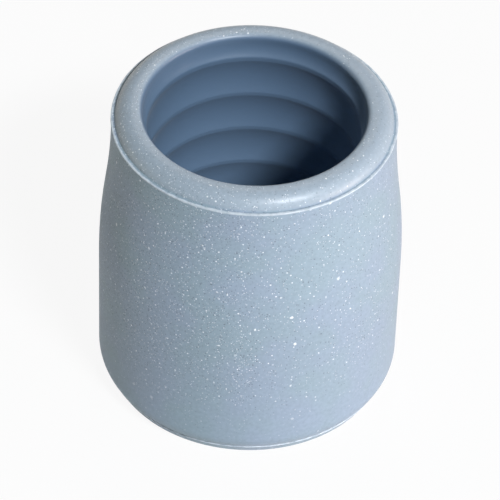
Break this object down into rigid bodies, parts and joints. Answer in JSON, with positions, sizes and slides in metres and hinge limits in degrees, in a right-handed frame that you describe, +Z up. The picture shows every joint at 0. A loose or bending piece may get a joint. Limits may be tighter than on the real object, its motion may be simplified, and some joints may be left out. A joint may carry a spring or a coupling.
{
  "type": "rubber cane tip",
  "caption": "Moulded rubber cup that presses over the end of a round cane tube, with ring ribs inside its socket, a rounded lip and a flat sole.",
  "frame": {"origin": "centre of the flat sole, at the bottom", "axes": "+Z up the axis of the socket and out of the mouth; X and Y in the plane of the sole"},
  "size_m": [0.0366, 0.0366, 0.0402],
  "materials": {
    "rubber": "satin grey-blue rubber with fine pale specks"
  },
  "bodies": {
    "root": {"cane_tip": "rubber"}
  },
  "joints": []
}
